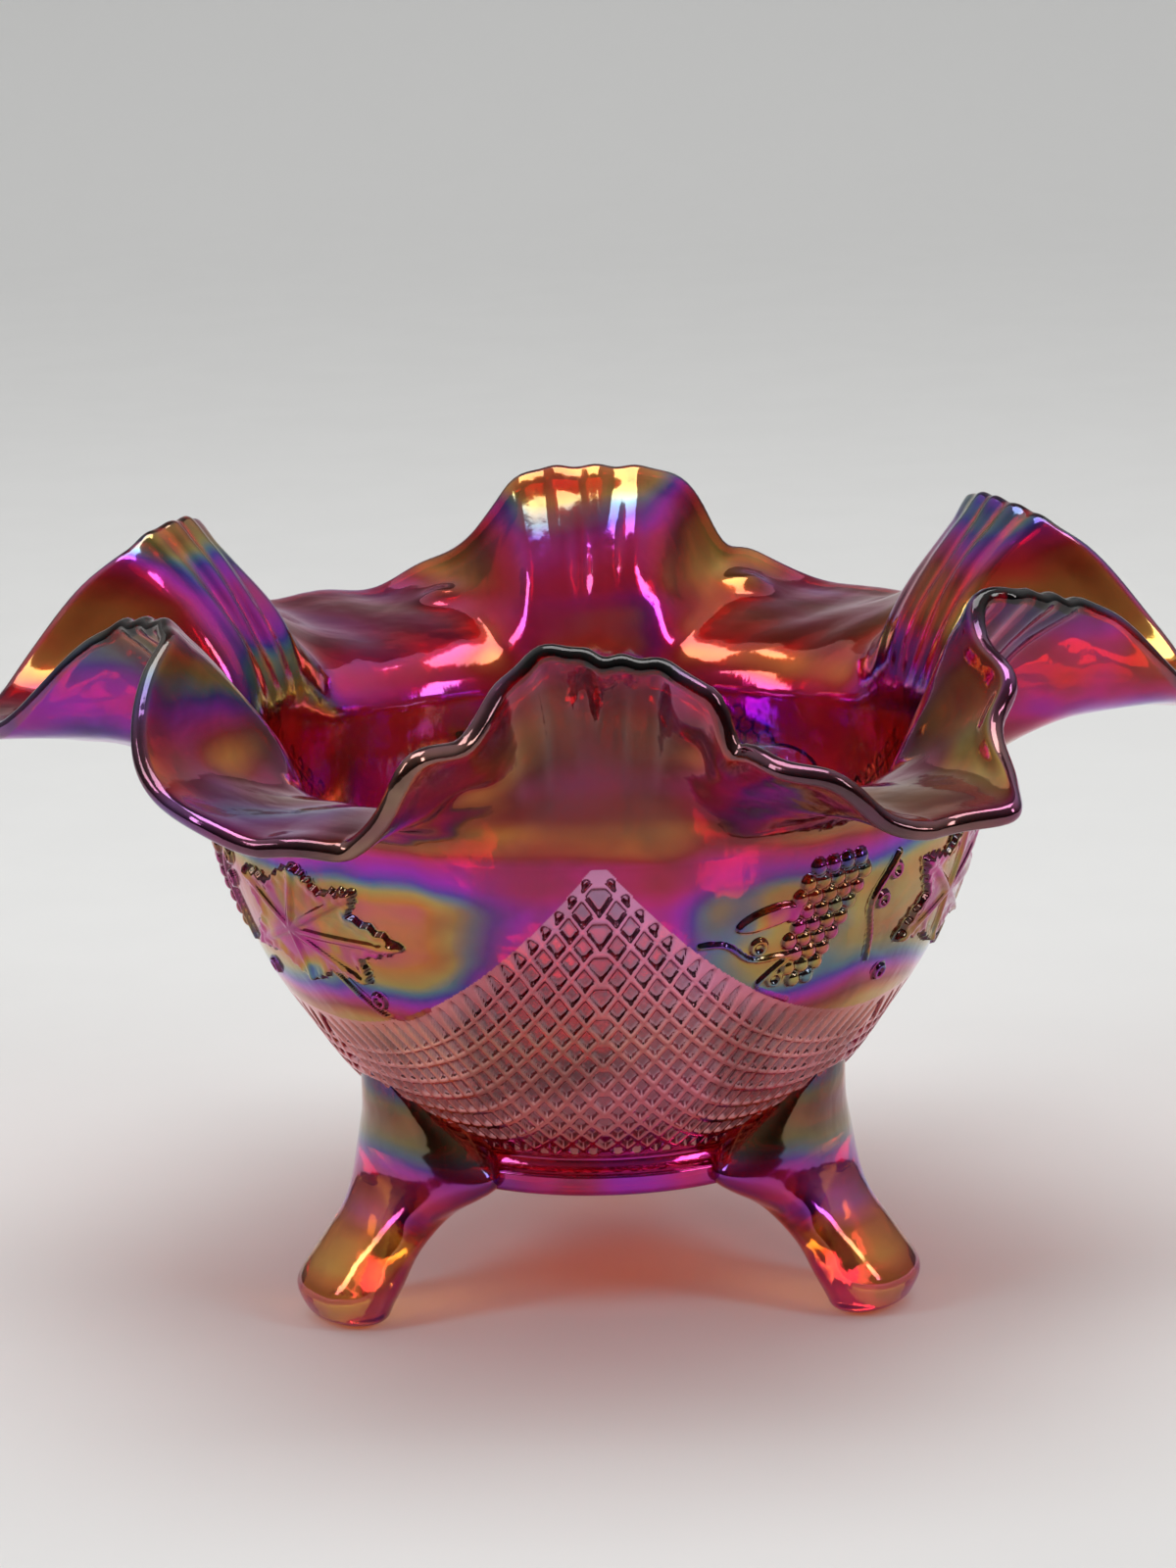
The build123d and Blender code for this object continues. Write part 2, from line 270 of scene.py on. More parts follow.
def spline(knots, values, at):
    """Natural cubic curve through values at rising knots, read at other places."""
    knots, values = np.asarray(knots, float), np.asarray(values, float)
    gaps = np.diff(knots)
    slopes = np.diff(values) / gaps
    system = np.eye(len(knots))
    right = np.zeros(len(knots))
    for k in range(1, len(knots) - 1):
        system[k, k - 1 : k + 2] = gaps[k - 1], 2 * (gaps[k - 1] + gaps[k]), gaps[k]
        right[k] = 6 * (slopes[k] - slopes[k - 1])
    bend = np.linalg.solve(system, right)
    k = np.clip(np.searchsorted(knots, at) - 1, 0, len(gaps) - 1)
    after, before, gap = knots[k + 1] - at, at - knots[k], gaps[k]
    return (
        (bend[k] * after**3 + bend[k + 1] * before**3) / (6 * gap)
        + (values[k] / gap - bend[k] * gap / 6) * after
        + (values[k + 1] / gap - bend[k + 1] * gap / 6) * before
    )


def smooth(low, high, value):
    """Smooth step from 0 at low to 1 at high."""
    x = np.clip((value - low) / (high - low), 0, 1)
    return x * x * (3 - 2 * x)


def polar(azimuth, radius, height):
    """Points from azimuths, radii and heights."""
    turn = np.radians(azimuth)
    places = np.broadcast_arrays(radius * np.sin(turn), -radius * np.cos(turn), height)
    return np.stack(places, -1)


def azimuths(count):
    """Evenly spaced azimuths around the bowl."""
    return np.arange(count) * 360 / count


def azimuth_from(azimuth, place):
    """Azimuth counted from another one, between -180 and 180."""
    return (azimuth - place + 180) % 360 - 180


def unit(vectors):
    """Vectors scaled to length 1."""
    return vectors / np.linalg.norm(vectors, axis=-1, keepdims=True)


def grid_normals(points):
    """Outward normals of a grid of points that closes around and rises from row to row."""
    around = np.roll(points, -1, 1) - np.roll(points, 1, 1)
    return unit(np.cross(around, np.gradient(points, axis=0)))


# ---- meshes


class Skin:
    """Vertices and faces of a mesh that is built ring by ring."""

    def __init__(self):
        self.vertices, self.notes, self.faces, self.marks = [], [], [], []
        self.count = 0

    def ring(self, points, notes=PLAIN):
        """Add one ring of points, each with its notes; return the points' numbers."""
        self.vertices.append(np.asarray(points, float))
        self.notes.append(np.broadcast_to(notes, (len(points), len(NOTES))))
        self.count += len(points)
        return np.arange(self.count - len(points), self.count)

    def bridge(self, lower, upper, mark=BODY):
        """Faces between two rings, whose counts are the same or differ by a whole factor."""
        if len(lower) == len(upper):
            quads = np.stack([lower, np.roll(lower, -1), np.roll(upper, -1), upper], 1)
            self.add(quads, mark)
            return
        fine, coarse, turn = (lower, upper, 1) if len(lower) > len(upper) else (upper, lower, -1)
        factor = len(fine) // len(coarse)
        after = np.roll(fine, -1)
        self.add(np.stack([fine, after, np.repeat(coarse, factor)], 1)[:, ::turn], mark)
        last = after[factor - 1 :: factor]
        self.add(np.stack([coarse, last, np.roll(coarse, -1)], 1)[:, ::turn], mark)

    def bridge_all(self, rings, mark=BODY):
        """Faces between every two neighbouring rings."""
        for lower, upper in zip(rings, rings[1:]):
            self.bridge(lower, upper, mark)

    def cap(self, ring, point, mark=BODY, turn=1):
        """Faces from a ring to one middle point."""
        middle = self.ring([point])[0]
        faces = np.stack([ring, np.roll(ring, -1), np.full(len(ring), middle)], 1)
        self.add(faces[:, ::turn], mark)

    def add(self, faces, mark):
        """Add faces with one mark for all or one for each."""
        self.faces.append(faces)
        self.marks.append(np.broadcast_to(mark, len(faces)))

    def mesh(self, name):
        """Blender mesh of the skin, in metres, with every face's mark as its material."""
        vertices = np.concatenate(self.vertices) * MM
        corners = np.concatenate([block.ravel() for block in self.faces])
        sizes = np.concatenate([np.full(len(block), block.shape[1]) for block in self.faces])
        notes = np.concatenate(self.notes)
        return new_mesh(name, vertices, corners, sizes, notes, np.concatenate(self.marks))


def new_mesh(name, vertices, corners, sizes, notes, marks=None):
    """Mesh from vertices in metres, the faces' corners in a row and each face's corner count."""
    mesh = bpy.data.meshes.new(name)
    mesh.vertices.add(len(vertices))
    mesh.vertices.foreach_set("co", np.ascontiguousarray(vertices, np.float32).ravel())
    mesh.loops.add(len(corners))
    mesh.loops.foreach_set("vertex_index", corners.astype(np.int32))
    mesh.polygons.add(len(sizes))
    mesh.polygons.foreach_set("loop_start", (np.cumsum(sizes) - sizes).astype(np.int32))
    if marks is not None:
        mesh.polygons.foreach_set("material_index", marks.astype(np.int32))
    for note, values in zip(NOTES, notes.T):
        layer = mesh.attributes.new(note, "FLOAT", "POINT")
        layer.data.foreach_set("value", np.ascontiguousarray(values, np.float32))
    mesh.update(calc_edges=True)
    mesh.shade_smooth()
    return mesh


def read(collection, field, kind, width=1):
    """One field of a mesh's items as an array."""
    values = np.empty(len(collection) * width, kind)
    collection.foreach_get(field, values)
    return values.reshape(-1, width) if width > 1 else values


def set_normals(mesh, normals):
    """Give a mesh its shading normals; those at the joint of rim and wall are level."""
    places = read(mesh.vertices, "co", np.float32, 3)
    at_joint = np.abs(places[:, 2] - FLARE_HEIGHT * MM) < 0.001 * MM
    radius = np.hypot(places[:, 0], places[:, 1])[at_joint]
    side = np.where(radius > (FLARE_RADIUS - WALL_THICKNESS / 2) * MM, 1, -1) / radius
    normals[at_joint] = places[at_joint] * side[:, None] * (1, 1, 0)
    mesh.normals_split_custom_set_from_vertices(normals)


# ---- wall of the bowl


def wall_radius(height):
    """Outer radius of the wall at a height; the wall is upright at its top."""
    radii, heights = (np.array(line) for line in zip(*OUTER_PROFILE))
    heights = np.concatenate([heights, 2 * heights[-1] - heights[-2::-1]])
    return spline(heights, np.concatenate([radii, radii[-2::-1]]), height)


WALL_HEIGHTS = np.linspace(UNDERSIDE_HEIGHT, FLARE_HEIGHT, 600)
WALL_RADII = wall_radius(WALL_HEIGHTS)
WALL_STEPS = np.hypot(np.diff(WALL_HEIGHTS), np.diff(WALL_RADII))
WALL_RUN = np.concatenate([[0], np.cumsum(WALL_STEPS)])


def run_at(height):
    """Distance along the wall from its foot to a height."""
    return np.interp(height, WALL_HEIGHTS, WALL_RUN)


def net_edge_run(from_peak):
    """Distance along the wall to the net's upper edge, at an azimuth from a fan's peak."""
    fade = (1 - from_peak / HALF_FAN) ** NET_EDGE_POWER
    return run_at(NET_TROUGH_HEIGHT + NET_PEAK_RISE * fade)


def from_fan_peak(azimuth):
    """Azimuth from the nearest peak of the net's edge."""
    return np.abs((azimuth + HALF_FAN) % (2 * HALF_FAN) - HALF_FAN)


def net_recess(azimuth, run, radius):
    """Depth of the pressed net: 0 on its ridges and on the smooth wall above it."""
    from_peak = from_fan_peak(azimuth)
    side = smooth(0, HALF_FAN, from_peak)
    edge, peak = net_edge_run(from_peak), net_edge_run(0.0)
    flute = PEAK_FLUTE + (SIDE_FLUTE - PEAK_FLUTE) * smooth(0, FLUTES_SETTLE, from_peak)
    row = (edge - flute - run) / (CELL_HEIGHT + side * (SIDE_CELL_HEIGHT - CELL_HEIGHT))
    lean = CELL_HEIGHT + side * (CROSS_CELL_HEIGHT - CELL_HEIGHT)
    cross = (peak - PEAK_FLUTE - run) / lean + radius * np.radians(from_peak) / CELL_WIDTH
    to_row = np.abs(row - np.round(row))
    to_cross = np.abs(cross - np.round(cross))
    ridge = RIDGE + RIDGE_GROWTH * smooth(0.0, 1.0, (peak - run) / peak)
    cell = smooth(ridge, ridge + RIDGE_SLOPE, np.minimum(to_row, to_cross))
    along = np.clip((edge - run) / flute, 0, 1)
    open_from = 0.5 - FLUTE_TAPER * np.sqrt(along)
    groove = smooth(open_from - 0.02, open_from + FLUTE_SLOPE, to_cross)
    groove = groove * smooth(0, 0.3, along) * smooth(0.05, 0.14, -row)
    recess = np.where(row > 0, cell, groove)
    return NET_DEPTH * np.where(run > edge, 0, recess) * smooth(0.6, 2.5, run)


# ---- relief panels


PANEL_SCALE = math.radians(1) * wall_radius(LEAF_MIDDLE[1])


def on_panel(place):
    """Flat (x, y) of a panel for a place given as (azimuth, height)."""
    return np.array([place[0] * PANEL_SCALE, run_at(place[1])])


def path_distance(x, y, path):
    """Distance of points from a path of straight pieces."""
    nearest = np.full(np.shape(x), np.inf)
    for start, end in zip(path, path[1:]):
        along = end - start
        t = ((x - start[0]) * along[0] + (y - start[1]) * along[1]) / (along @ along)
        t = np.clip(t, 0, 1)
        away = np.hypot(x - start[0] - t * along[0], y - start[1] - t * along[1])
        nearest = np.minimum(nearest, away)
    return nearest


def rounded_path(places, pieces=24):
    """Smooth path through places of a panel."""
    points = np.array([on_panel(place) for place in places])
    knots = np.arange(len(points))
    at = np.linspace(0, knots[-1], pieces)
    return np.stack([spline(knots, points[:, 0], at), spline(knots, points[:, 1], at)], 1)


def dome(distance, radius, rise):
    """Height of a round bump at a distance from its middle."""
    return rise * np.sqrt(np.clip(1 - (distance / radius) ** 2, 0, 1))


def grape_relief(x, y):
    """Bunch of grapes in staggered, leaning rows."""
    relief = np.zeros(np.shape(x))
    for count, first, height in GRAPE_ROWS:
        start = on_panel((first, height))
        for place in range(count):
            aside = x - start[0] - place * GRAPE_STEP
            above = (y - start[1] - GRAPE_LEAN * place) * GRAPE_TALLNESS
            relief = np.maximum(relief, dome(np.hypot(aside, above), GRAPE_RADIUS, GRAPE_RISE))
    return relief


def leaf_outline():
    """Toothed outline of the leaf, in the panel's flat (x, y)."""
    middle = on_panel(LEAF_MIDDLE)
    corners = []
    for tip, notch in zip(LEAF_TIPS, LEAF_NOTCHES):
        corners += [np.array(tip, float), np.array(notch, float)]
    outline = []
    for start, end in zip(corners, corners[1:] + corners[:1]):
        side = np.array([end[1] - start[1], start[0] - end[0]])
        side = -side / np.linalg.norm(side)
        outline.append(start)
        for step in range(1, 2 * LEAF_TEETH):
            t = step / (2 * LEAF_TEETH)
            outward = LEAF_TOOTH * math.sin(math.pi * t) if step % 2 else 0.0
            outline.append(start + t * (end - start) + outward * side)
    outline.append(outline[0])
    return np.array(outline) + middle


def inside_outline(x, y, outline):
    """Whether points lie inside a closed outline."""
    inside = np.zeros(np.shape(x), bool)
    for (x0, y0), (x1, y1) in zip(outline, outline[1:]):
        if y0 != y1:
            crosses = (y > min(y0, y1)) & (y <= max(y0, y1))
            inside ^= crosses & (x < x0 + (y - y0) * (x1 - x0) / (y1 - y0))
    return inside


def leaf_relief(x, y):
    """Raised leaf with hollow lobes, raised veins and a toothed edge."""
    outline = leaf_outline()
    middle = on_panel(LEAF_MIDDLE)
    hub = middle + LEAF_HUB
    depth = path_distance(x, y, outline) * np.where(inside_outline(x, y, outline), 1, -1)
    veins = np.full(np.shape(x), np.inf)
    for tip in LEAF_TIPS:
        end = middle + np.array(tip) * VEIN_REACH
        veins = np.minimum(veins, path_distance(x, y, np.array([hub, end])))
    blade = LEAF_BLADE + LEAF_EDGE * smooth(2.2, 0.4, depth) + LEAF_VEIN * smooth(1.2, 0.1, veins)
    return LEAF_RISE * blade * smooth(-0.15, 0.4, depth)


def vine_relief(x, y):
    """Vines, curled tendrils and a bud."""
    away = np.full(np.shape(x), np.inf)
    for places in VINES:
        away = np.minimum(away, path_distance(x, y, rounded_path(places)))
    for place in TENDRILS:
        middle = on_panel(place)
        around = np.hypot(x - middle[0], y - middle[1])
        away = np.minimum(away, np.abs(around - TENDRIL_RADIUS))
    relief = dome(away, VINE_WIDTH, VINE_RISE)
    bud = rounded_path(BUD)
    widths = BUD_HALF_WIDTH * np.sqrt(1 - BUD_TAPER * np.linspace(-1, 1, len(bud)) ** 2)
    for point, width in zip(bud, widths):
        away = np.hypot(x - point[0], y - point[1])
        relief = np.maximum(relief, BUD_RISE * smooth(width, width - BUD_EDGE, away))
    return relief


def panel_relief(azimuth, run):
    """Outward relief of the three panels and the mark of the section that each point is in."""
    relief = np.zeros(np.broadcast(azimuth, run).shape)
    marks = np.full(relief.shape, BODY)
    for index, middle in enumerate(PANELS.values()):
        from_middle = azimuth_from(azimuth, middle)
        x, y = np.broadcast_arrays(from_middle * PANEL_SCALE, run)
        near = (np.abs(x) < HALF_PANEL * PANEL_SCALE) & (y > run_at(NET_TROUGH_HEIGHT))
        for shape, mark in (
            (vine_relief, LEAVES + index),
            (leaf_relief, LEAVES + index),
            (grape_relief, GRAPES + index),
        ):
            height = np.zeros(relief.shape)
            height[near] = shape(x[near], y[near])
            higher = height > np.maximum(relief, FAINTEST_RELIEF)
            relief[higher] = height[higher]
            marks[higher] = mark
    return relief, marks


# ---- one skin for bowl, net, panels and collar


def arc(middle_radius, middle_height, radius, start, end, count):
    """(radius, height) points along an arc around a middle, from one angle to another."""
    return [
        (middle_radius + radius * math.cos(turn), middle_height + radius * math.sin(turn))
        for turn in np.radians(np.linspace(start, end, count))
    ]


def collar_outline():
    """(radius, height) from the wall's foot down and around the collar to its bore."""
    low = COLLAR_BOTTOM + COLLAR_ROUND
    band_top = COLLAR_BAND_TOP - BAND_ROUND
    cove = arc(OUTER_PROFILE[0][0] + COVE_RADIUS, UNDERSIDE_HEIGHT, COVE_RADIUS, 180, 270, 9)[1:]
    shoulder = arc(COLLAR_RADIUS - BAND_ROUND, band_top, BAND_ROUND, 90, 0, 4)
    band_heights = np.linspace(band_top - FLAT_MARGIN, low + FLAT_MARGIN, 6)
    band = [(COLLAR_RADIUS, height) for height in band_heights]
    edge = arc(COLLAR_RADIUS - COLLAR_ROUND, low, COLLAR_ROUND, 0, -90, 7)
    margin = COLLAR_ROUND + 2 * FLAT_MARGIN
    flat_radii = np.linspace(COLLAR_RADIUS - margin, COLLAR_BORE + margin, 5)
    flat = [(radius, COLLAR_BOTTOM) for radius in flat_radii]
    bore_edge = arc(COLLAR_BORE + COLLAR_ROUND, low, COLLAR_ROUND, -90, -180, 7)
    return cove + shoulder + band + edge + flat + bore_edge


def steepness(relief, radius):
    """Slope of the relief against the plain wall."""
    around = (np.roll(relief, -1, 1) - np.roll(relief, 1, 1)) / (4 * math.pi * radius / AROUND)
    return np.hypot(around, np.gradient(relief, ROW_STEP, axis=0))


def build_glass():
    """Closed skin of bowl, net, relief panels and collar, with a ring face at the rim joint."""
    azimuth = azimuths(AROUND)[None, :]
    run = np.append(np.arange(0, WALL_RUN[-1] - ROW_STEP / 2, ROW_STEP), WALL_RUN[-1])[:, None]
    height = np.interp(run, WALL_RUN, WALL_HEIGHTS)
    radius = wall_radius(height)
    plain = polar(azimuth, radius, height)
    normal = grid_normals(plain)
    relief, marks = panel_relief(azimuth, run)
    above_net = run - net_edge_run(from_fan_peak(azimuth))
    marks = np.where((marks == BODY) & (above_net < 0), NET, marks)
    relief = relief * smooth(0, 1.5, above_net)
    recess = net_recess(azimuth, run, radius)
    raised = relief / LEAF_RISE
    relief = relief - recess
    # masks of painted shade, from the net's recess depth and the relief's slope, then the
    # relief's height
    notes = np.stack([recess / NET_DEPTH, steepness(relief, radius), raised], -1)
    skin = Skin()
    rows = [skin.ring(*row) for row in zip(plain + normal * relief[..., None], notes)]
    for lower, upper, mark in zip(rows, rows[1:], marks):
        skin.bridge(lower, upper, mark)
    collar = [skin.ring(polar(azimuth[0], *place)) for place in collar_outline()]
    skin.bridge_all([*collar[::-1], rows[0]], COLLAR)
    under = [
        skin.ring(polar(azimuth[0, ::stride], ring_radius, UNDERSIDE_HEIGHT))
        for ring_radius, stride in UNDERSIDE_RINGS
    ]
    skin.bridge(under[0], collar[-1], COLLAR)
    skin.bridge_all(under[::-1])
    skin.cap(under[-1], (0, 0, UNDERSIDE_HEIGHT), turn=-1)
    inside = inner_rings(skin)
    skin.bridge(rows[-1], inside[0], JOINT)
    return skin.mesh("glass")


def inner_rings(skin):
    """Rings of the inside of the bowl, from the flare to the middle of its floor."""
    radii, heights = (np.array(line) for line in zip(*INNER_PROFILE))
    run = np.concatenate([[0], np.cumsum(np.hypot(np.diff(radii), np.diff(heights)))])
    mirrored = np.concatenate([-run[:0:-1], run])
    places = np.linspace(0, run[-1], INSIDE_ROWS)[:-1, None]
    radius = spline(mirrored, np.concatenate([radii[:0:-1], radii]), places)
    height = spline(mirrored, np.concatenate([2 * heights[0] - heights[:0:-1], heights]), places)
    rings = [skin.ring(row) for row in polar(azimuths(INSIDE_AROUND), radius, height)]
    skin.bridge_all(rings)
    skin.cap(rings[-1], (0, 0, heights[-1]))
    return rings


def build_foot(azimuth, mark):
    """Closed skin of one foot, whose top lies inside the wall."""
    heights, inner, outer, width = (np.array(line) for line in zip(*FOOT_SECTIONS))
    steps = np.arange(2, heights[-1], FOOT_STEP)
    places = np.concatenate([SOLE_HEIGHTS, steps, [heights[-1]]])
    turn = np.linspace(0, 2 * math.pi, FOOT_AROUND, endpoint=False)
    power = 2 / FOOT_SQUARENESS
    side = np.sign(np.cos(turn)) * np.abs(np.cos(turn)) ** power
    out = -np.sign(np.sin(turn)) * np.abs(np.sin(turn)) ** power
    skin = Skin()
    rings, middles = [], []
    for height in places:
        near, far, wide = (spline(heights, line, height) for line in (inner, outer, width))
        centre = (near + far) / 2
        bend = np.degrees(side * wide / 2 / centre)
        radius = centre + out * (far - near) / 2
        # painted shade on the foot's tongue
        tongue_shade = (0.0, TONGUE_SHADE * smooth(TONGUE_FROM, TONGUE_TO, height), 0.0)
        rings.append(skin.ring(polar(azimuth + bend, radius, height), tongue_shade))
        middles.append(polar(azimuth, centre, height))
    skin.bridge_all(rings, mark)
    skin.cap(rings[0], middles[0], mark, -1)
    skin.cap(rings[-1], middles[-1], mark)
    return skin.mesh("foot")


# ---- ruffled rim


def from_crest(azimuth):
    """Azimuth from the nearest crest of the rim."""
    for place, shift in CREST_SHIFTS:
        azimuth = azimuth + shift * np.exp(-(((azimuth - place) / CREST_SHIFT_WIDTH) ** 2))
    return (azimuth + RUFFLE_PITCH / 2) % RUFFLE_PITCH - RUFFLE_PITCH / 2


def lip(azimuth):
    """Radius and height of the lip's outer edge."""
    half = np.array(RUFFLE_AZIMUTHS)
    knots = np.concatenate([-half[:0:-1], half, RUFFLE_PITCH - half[-2::-1]])
    radius, height = (
        spline(knots, [*line[:0:-1], *line, *line[-2::-1]], from_crest(azimuth))
        for line in (RUFFLE_RADII, RUFFLE_HEIGHTS)
    )
    for place, width, outwards, upwards in CRIMPS:
        bend = np.exp(-((azimuth_from(azimuth, place) / width) ** 2))
        radius = radius + outwards * bend
        height = height + upwards * bend
    return radius, height


def flare_outside(azimuth, v):
    """Outside of the flare: a cubic from the top of the wall (v = 0) to the lip (v = 1)."""
    front = np.exp(-((azimuth_from(azimuth, 0) / FRONT_WIDTH) ** 2))
    power = CREST_POWER + front * (FRONT_CREST_POWER - CREST_POWER)
    crest = 1 / (1 + np.abs(from_crest(azimuth) / CREST_HALF_WIDTH) ** power)
    stem = TROUGH_STEM + crest * (CREST_STEM - TROUGH_STEM)
    elbow = [low + crest * (high - low) for low, high in zip(TROUGH_ELBOW, CREST_ELBOW)]
    lip_radius, lip_height = lip(azimuth)
    poles_radius = [FLARE_RADIUS, FLARE_RADIUS, elbow[0], lip_radius]
    poles_height = [FLARE_HEIGHT, FLARE_HEIGHT + stem, elbow[1], lip_height]
    weights = [math.comb(3, k) * v**k * (1 - v) ** (3 - k) for k in range(4)]
    radius = sum(w * pole for w, pole in zip(weights, poles_radius))
    height = sum(w * pole for w, pole in zip(weights, poles_height))
    return polar(azimuth, radius, height)


def ripples(azimuth, v):
    """Outward unevenness of the flare: slow waves, folds on the crests and tool dents."""
    turn = np.radians(azimuth)
    waves = sum(
        share * np.sin(count * turn + rise * v + start) for count, rise, start, share in RIPPLES
    )
    column = smooth(FOLD_HALF_WIDTH, 0.6 * FOLD_HALF_WIDTH, np.abs(from_crest(azimuth)))
    folds = np.sin(FOLD_COUNT * turn + 2.5 * np.sin(3 * turn))
    folds = column * smooth(0.15, 0.6, v) * folds
    dents = 0
    for place, up, width, height, depth in DENTS:
        aside = azimuth_from(azimuth, place) / width
        dents = dents + depth * np.exp(-(aside**2) - ((v - up) / height) ** 2)
    return RIPPLE_DEPTH * waves * smooth(0.0, 0.6, v) + FOLD_DEPTH * folds - dents


def build_rim():
    """Flared rim, open below where it meets the wall."""
    azimuth = azimuths(RIM_AROUND)
    v = np.linspace(0, 1, RIM_ROWS)[:, None]
    outside = flare_outside(azimuth[None, :], v)
    normal = grid_normals(outside)
    normal[0] = polar(azimuth, 1, 0)
    outside = outside + normal * ripples(azimuth[None, :], v)[..., None]
    thickness = WALL_THICKNESS + (LIP_THICKNESS - WALL_THICKNESS) * smooth(0, 0.8, v)
    inside = outside - normal * (thickness + LIP_BEAD * smooth(0.9, 1, v))[..., None]
    upward = unit(outside[-1] - outside[-2])
    middle = (outside[-1] + inside[-1]) / 2
    half = (outside[-1] - inside[-1]) / 2
    bulge = upward * (LIP_THICKNESS + LIP_BEAD) / 2
    turns = np.linspace(0, math.pi, LIP_ROWS)[1:-1]
    edge = [middle + half * math.cos(turn) + bulge * math.sin(turn) for turn in turns]
    skin = Skin()
    rings = [skin.ring(row) for row in outside] + [skin.ring(row, LIP_NOTES) for row in edge]
    skin.bridge_all(rings + [skin.ring(row) for row in inside[::-1]])
    mesh = skin.mesh("rim")
    set_normals(mesh, read(mesh.vertex_normals, "vector", np.float32, 3))
    return mesh


# ---- joining and naming the sections


def link(name, data):
    """Object for a mesh, a light or a camera, in the scene."""
    piece = bpy.data.objects.new(name, data)
    bpy.context.scene.collection.objects.link(piece)
    return piece


def join_feet(glass):
    """Mesh of the glass with its three feet as one closed skin."""
    base = link("base", glass)
    feet = []
    for index, azimuth in enumerate(PANELS.values()):
        foot = link("foot", build_foot(azimuth, FEET + index))
        union = base.modifiers.new("join", "BOOLEAN")
        union.operation = "UNION"
        union.solver = "MANIFOLD"
        union.object = foot
        feet.append(foot)
    marks = [bpy.data.materials.new(f"mark_{mark}") for mark in range(FEET + len(PANELS))]
    for piece in [base, *feet]:
        for mark in marks:
            piece.data.materials.append(mark)
    graph = bpy.context.evaluated_depsgraph_get()
    joined = bpy.data.meshes.new_from_object(base.evaluated_get(graph), depsgraph=graph)
    for piece in [*feet, base]:
        bpy.data.objects.remove(piece)
    return joined


def cut_sections(mesh):
    """Name each section of a joined mesh and return {name: mesh}, with smooth shading kept."""
    names = {BODY: "bowl_body", NET: "diamond_band", COLLAR: "collar_base"}
    for index, place in enumerate(PANELS):
        names[GRAPES + index] = f"grape_bunch_{place}"
        names[LEAVES + index] = f"vine_leaf_{place}"
        names[FEET + index] = f"foot_{place}"
    marks = read(mesh.polygons, "material_index", np.int32)
    sizes = read(mesh.polygons, "loop_total", np.int32)
    corners = read(mesh.loops, "vertex_index", np.int32)
    edges = read(mesh.loops, "edge_index", np.int32)
    places = read(mesh.vertices, "co", np.float32, 3)
    corner_marks = np.repeat(marks, sizes)
    apart = (corner_marks >= FEET) | (corner_marks == JOINT)
    touched = np.zeros((2, len(mesh.edges)), bool)
    touched[apart.astype(int), edges] = True
    sharp = mesh.attributes.new("sharp_edge", "BOOLEAN", "EDGE")
    sharp.data.foreach_set("value", touched.all(0))
    normals = read(mesh.corner_normals, "vector", np.float32, 3)
    notes = np.stack([read(mesh.attributes[note].data, "value", np.float32) for note in NOTES], 1)
    pieces = {}
    for mark, name in names.items():
        own = corner_marks == mark
        used, numbers = np.unique(corners[own], return_inverse=True)
        piece = new_mesh(name, places[used], numbers, sizes[marks == mark], notes[used])
        own_normals = np.empty((len(used), 3), np.float32)
        own_normals[numbers] = normals[own]
        set_normals(piece, own_normals)
        pieces[name] = piece
    return pieces


def show(name, mesh, material):
    """Put a finished section in place of its CAD node."""
    piece = link(f"{name}_glass", mesh)
    mesh.materials.append(material)
    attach(piece, "root")
    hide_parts(name)


# ---- materials; their nodes measure in metres


SHEEN = [  # colours of the iridescent coat, in the order in which its film grows thicker
    (0.00, (0.88, 0.56, 0.10)),
    (0.12, (0.80, 0.26, 0.04)),
    (0.24, (0.50, 0.03, 0.03)),
    (0.36, (0.78, 0.02, 0.30)),
    (0.47, (0.50, 0.02, 0.70)),
    (0.56, (0.09, 0.06, 0.58)),
    (0.64, (0.14, 0.32, 0.42)),
    (0.73, (0.60, 0.47, 0.12)),
    (0.85, (0.82, 0.30, 0.05)),
    (1.00, (0.75, 0.03, 0.35)),
]
PALE_SHEEN = (0.55, 0.36, 0.30)  # mixed in where the coat is seen at a shallow angle
NET_SHEEN = (1.0, 0.46, 0.44)
# painted shade: greyer, darker sheen in the net's hollows and on the lip
HOLLOW_SHADE_SHEEN = (0.28, 0.24, 0.38)
# painted shade: near black on steep slopes of the relief, on the feet's tongues and a little on
# the lip
DARK_SHADE_SHEEN = (0.04, 0.01, 0.03)
# shares of each sheen mixed in; the last two are painted shade
PALE_SHARE, HOLLOW_SHADE_SHARE, DARK_SHADE_SHARE = 0.2, 0.5, 0.8

# Thickness of the coat's film by height: (height in millimetres, place in SHEEN)
WALL_FILM = [(24, 0.42), (31, 0.36), (56, 0.16), (70, 0.28), (82, 0.16), (94, 0.30), (123, 0.28)]
INSIDE_FILM = [(40, 0.25), (76, 0.38), (88, 0.50), (95, 0.42), (104, 0.14), (123, 0.16)]
NET_FILM = [(30, 0.22), (60, 0.28), (86, 0.44)]
LEG_FILM = [(0, 0.42), (6, 0.38), (10, 0.08), (14, 0.14), (18, 0.44), (21, 0.36)]
FOOT_FILM = LEG_FILM + [(25, 0.47), (28, 0.62), (31, 0.76), (35, 0.86), (39, 0.60)]
FILM_TOP = 130.0  # height, in millimetres, that the lists of heights may reach
RAISED_FILM = 0.12  # how much thicker the film is on the top of the relief
INSIDE_DRIFT = -3.0  # change of the film inside the bowl, per metre towards +X
COLUMN_FILM = 0.40  # how much thicker the film is on the inside of each crest
COLUMN_SIDES = (16.0, 7.0)  # azimuths from a crest between which that grows
COLUMN_REACH = (0.022, 0.052)  # distances from the axis between which it grows too
BAND_STRETCH = 28.0  # how close the coat's level bands are
